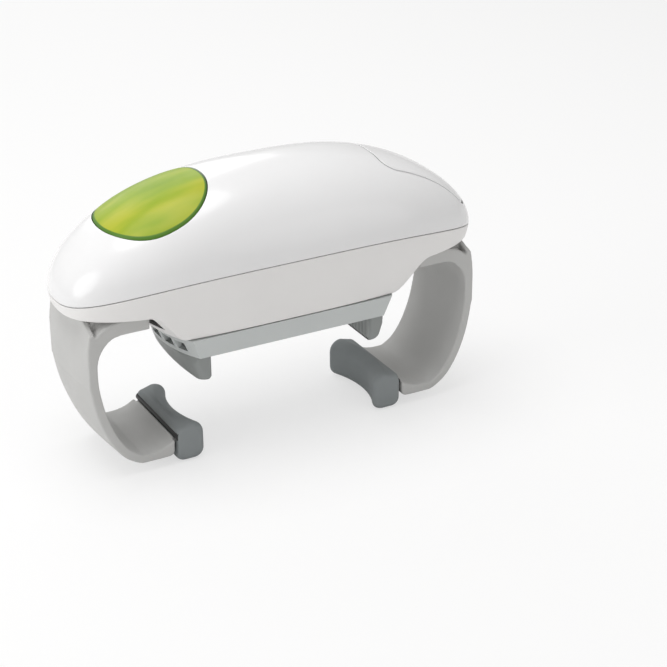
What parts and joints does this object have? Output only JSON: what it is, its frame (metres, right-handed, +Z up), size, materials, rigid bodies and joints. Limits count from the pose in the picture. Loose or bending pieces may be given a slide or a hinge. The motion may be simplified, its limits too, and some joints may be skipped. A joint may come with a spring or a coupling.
{
  "type": "electric jar opener",
  "caption": "Battery jar opener: a smooth oval body over two sliding C-shaped gripping arms and a turning carriage with two lid jaws.",
  "frame": {"origin": "on the table, under the turning axis, at the bottom of the pads", "axes": "+X along the body from the button towards the battery cover, +Z up along the turning axis"},
  "size_m": [0.186, 0.07, 0.118],
  "materials": {
    "shell_white": "gloss moulded ABS",
    "lower_white": "satin moulded ABS",
    "arm_grey": "fine-grained moulded nylon",
    "carriage_grey": "satin moulded ABS",
    "jaw_grey": "fine-grained moulded nylon",
    "plate_grey": "satin moulded ABS",
    "pad_rubber": "soft moulded rubber",
    "pin_black": "blackened steel",
    "button_green": "satin moulded ABS",
    "board_green": "solder mask on glass epoxy",
    "switch_black": "moulded",
    "steel": "zinc plated",
    "motor_can": "drawn can",
    "brass": "cut brass",
    "gear_ivory": "moulded acetal",
    "frame_grey": "moulded nylon",
    "tray_grey": "moulded ABS",
    "cell_wrap": "printed wrap, left bare",
    "contact_nickel": "nickel plated"
  },
  "bodies": {
    "housing": {"top_shell": "shell_white", "lower_shell": "lower_white", "button_spring": "steel", "switch": "switch_black", "circuit_board": "board_green", "board_screws": "steel", "chassis": "frame_grey", "chassis_screws": "steel", "motor": "motor_can", "gear_axles": "steel", "gear_bridge": "frame_grey", "shell_screws": "steel", "battery_tray": "tray_grey", "battery_cells": "cell_wrap", "battery_contacts": "contact_nickel"},
    "button": {"button": "button_green"},
    "plunger": {"switch_plunger": "switch_black"},
    "battery_cover": {"battery_cover": "shell_white"},
    "arm_left": {"left_arm": "arm_grey"},
    "arm_right": {"right_arm": "arm_grey"},
    "pad_left": {"left_pad": "pad_rubber", "left_pad_pin": "pin_black"},
    "pad_right": {"right_pad": "pad_rubber", "right_pad_pin": "pin_black"},
    "arm_pinion": {"arm_pinion": "gear_ivory"},
    "carriage": {"carriage": "carriage_grey", "carriage_plate": "plate_grey", "plate_screws": "steel", "spindle": "steel", "spindle_clip": "steel", "output_gear": "gear_ivory", "pinion_screw": "steel"},
    "jaw_left": {"left_jaw": "jaw_grey"},
    "jaw_right": {"right_jaw": "jaw_grey"},
    "jaw_pinion": {"jaw_pinion": "gear_ivory"},
    "second_gear": {"second_gear": "gear_ivory"},
    "first_gear": {"first_gear": "gear_ivory"},
    "motor_pinion": {"motor_pinion": "brass", "motor_shaft": "steel"}
  },
  "joints": [
    {"name": "button_press", "type": "slide", "parent": "housing", "child": "button", "axis": [0, 0, -1], "range_m": [0, 0.0015], "stiffness_N_per_m": 1500, "springref_m": -0.0006, "deforming": ["button_spring"]},
    {"name": "plunger_press", "type": "slide", "parent": "housing", "child": "plunger", "axis": [0, 0, -1], "range_m": [0, 0.0015]},
    {"name": "battery_cover_lift", "type": "slide", "parent": "housing", "child": "battery_cover", "axis": [0, 0, 1], "range_m": [0, 0.03]},
    {"name": "arm_left_slide", "type": "slide", "parent": "housing", "child": "arm_left", "axis": [1, 0, 0], "range_m": [-0.006, 0.018]},
    {"name": "arm_right_slide", "type": "slide", "parent": "housing", "child": "arm_right", "axis": [-1, 0, 0], "range_m": [-0.006, 0.018]},
    {"name": "arm_pinion_turn", "type": "hinge", "parent": "housing", "child": "arm_pinion", "pos_m": [0, 0, 0.064], "axis": [0, 0, 1], "range_deg": [-114.8, 38.4]},
    {"name": "pad_left_swivel", "type": "hinge", "parent": "arm_left", "child": "pad_left", "pos_m": [-0.0511, 0, 0.012], "axis": [0, 1, 0], "range_deg": [-5, 5]},
    {"name": "pad_right_swivel", "type": "hinge", "parent": "arm_right", "child": "pad_right", "pos_m": [0.0511, 0, 0.012], "axis": [0, -1, 0], "range_deg": [-5, 5]},
    {"name": "carriage_turn", "type": "hinge", "parent": "housing", "child": "carriage", "pos_m": [0, 0, 0.056], "axis": [0, 0, 1], "continuous": true},
    {"name": "second_gear_turn", "type": "hinge", "parent": "housing", "child": "second_gear", "pos_m": [-0.02473, 0.00663, 0.08], "axis": [0, 0, 1], "continuous": true},
    {"name": "first_gear_turn", "type": "hinge", "parent": "housing", "child": "first_gear", "pos_m": [-0.03549, -0.00382, 0.08], "axis": [0, 0, 1], "continuous": true},
    {"name": "motor_turn", "type": "hinge", "parent": "housing", "child": "motor_pinion", "pos_m": [-0.05, 0, 0.08], "axis": [0, 0, 1], "continuous": true},
    {"name": "jaw_left_slide", "type": "slide", "parent": "carriage", "child": "jaw_left", "axis": [1, 0, 0], "range_m": [-0.003, 0.02]},
    {"name": "jaw_right_slide", "type": "slide", "parent": "carriage", "child": "jaw_right", "axis": [-1, 0, 0], "range_m": [-0.003, 0.02]},
    {"name": "jaw_pinion_turn", "type": "hinge", "parent": "carriage", "child": "jaw_pinion", "pos_m": [0, 0, 0.0515], "axis": [0, 0, 1], "range_deg": [-191.2, 28.9]}
  ],
  "couplings": [
    {"joint": "plunger_press", "follows": "button_press", "ratio": 1},
    {"joint": "arm_right_slide", "follows": "arm_left_slide", "ratio": 1},
    {"joint": "arm_pinion_turn", "follows": "arm_left_slide", "rad_per_m": -111.11},
    {"joint": "second_gear_turn", "follows": "carriage_turn", "ratio": -3.5714},
    {"joint": "first_gear_turn", "follows": "carriage_turn", "ratio": 14.286},
    {"joint": "motor_turn", "follows": "carriage_turn", "ratio": -57.143},
    {"joint": "jaw_right_slide", "follows": "jaw_left_slide", "ratio": 1},
    {"joint": "jaw_pinion_turn", "follows": "jaw_left_slide", "rad_per_m": -166.67}
  ]
}
